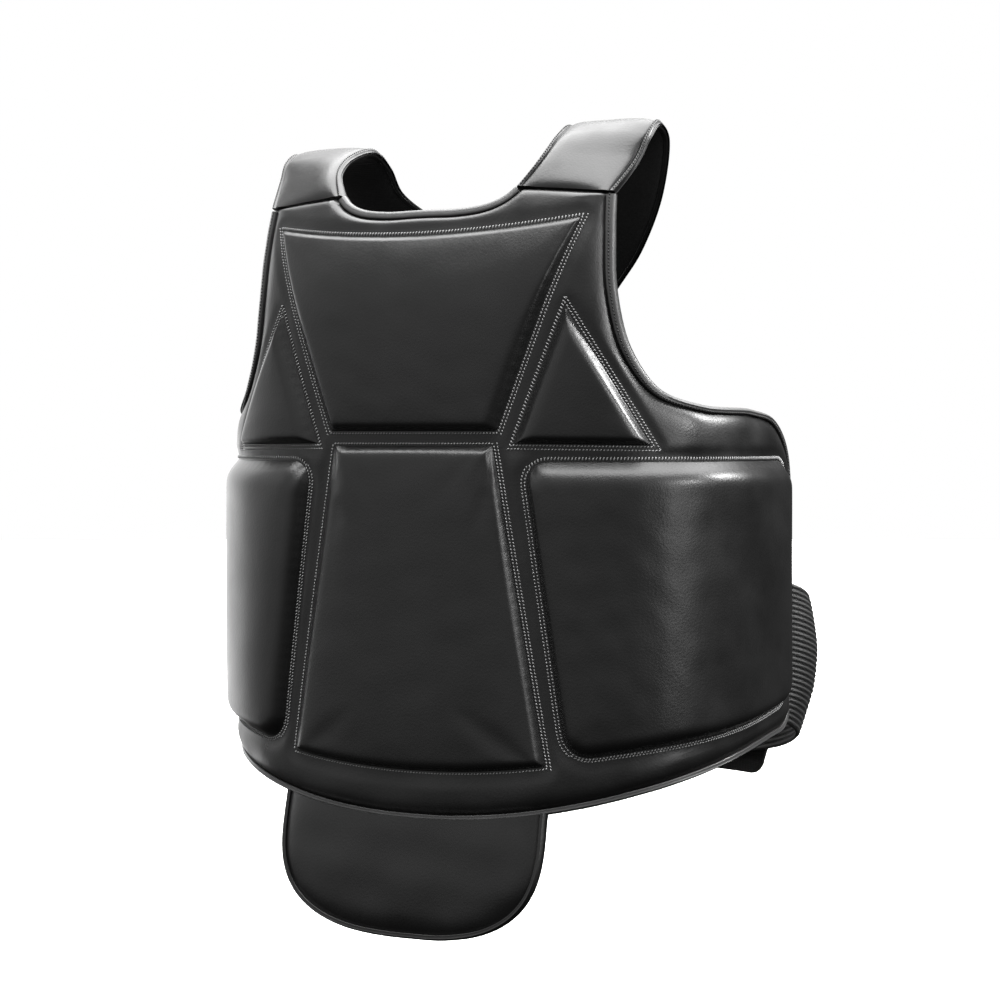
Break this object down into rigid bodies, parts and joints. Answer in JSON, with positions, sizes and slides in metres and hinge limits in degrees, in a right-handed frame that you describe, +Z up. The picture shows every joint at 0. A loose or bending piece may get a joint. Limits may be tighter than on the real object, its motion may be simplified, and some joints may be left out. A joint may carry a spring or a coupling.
{
  "type": "boxing chest protector",
  "caption": "Padded leather torso guard with raised chest and rib pads, bound edges, crossed shoulder straps, elastic back band and a flap below the hem.",
  "frame": {"origin": "midway between the two shoulder straps, level with the underside of their highest point, where they rest on the shoulders", "axes": "+X to the wearer's left, +Y to the wearer's back, +Z up"},
  "size_m": [0.404, 0.3114, 0.5291],
  "materials": {
    "leather": "black, semi-gloss, fine grain",
    "pad_leather": "black, semi-gloss, stretched smooth over padding",
    "binding_leather": "black, semi-gloss strip",
    "strap_leather": "black, semi-gloss, dull on the underside",
    "elastic": "black, ribbed, matt",
    "tab_fabric": "black, matt"
  },
  "bodies": {
    "root": {"front_shell": "leather", "upper_chest_pad": "pad_leather", "lower_centre_pad": "pad_leather", "left_triangle_pad": "pad_leather", "right_triangle_pad": "pad_leather", "left_rib_pad": "pad_leather", "right_rib_pad": "pad_leather", "neck_binding": "binding_leather", "left_armhole_binding": "binding_leather", "right_armhole_binding": "binding_leather", "hem_binding": "binding_leather", "left_shoulder_strap": "strap_leather", "right_shoulder_strap": "strap_leather", "elastic_band": "elastic", "closure_tab": "tab_fabric", "hem_flap": "leather", "flap_binding": "binding_leather"}
  },
  "joints": []
}
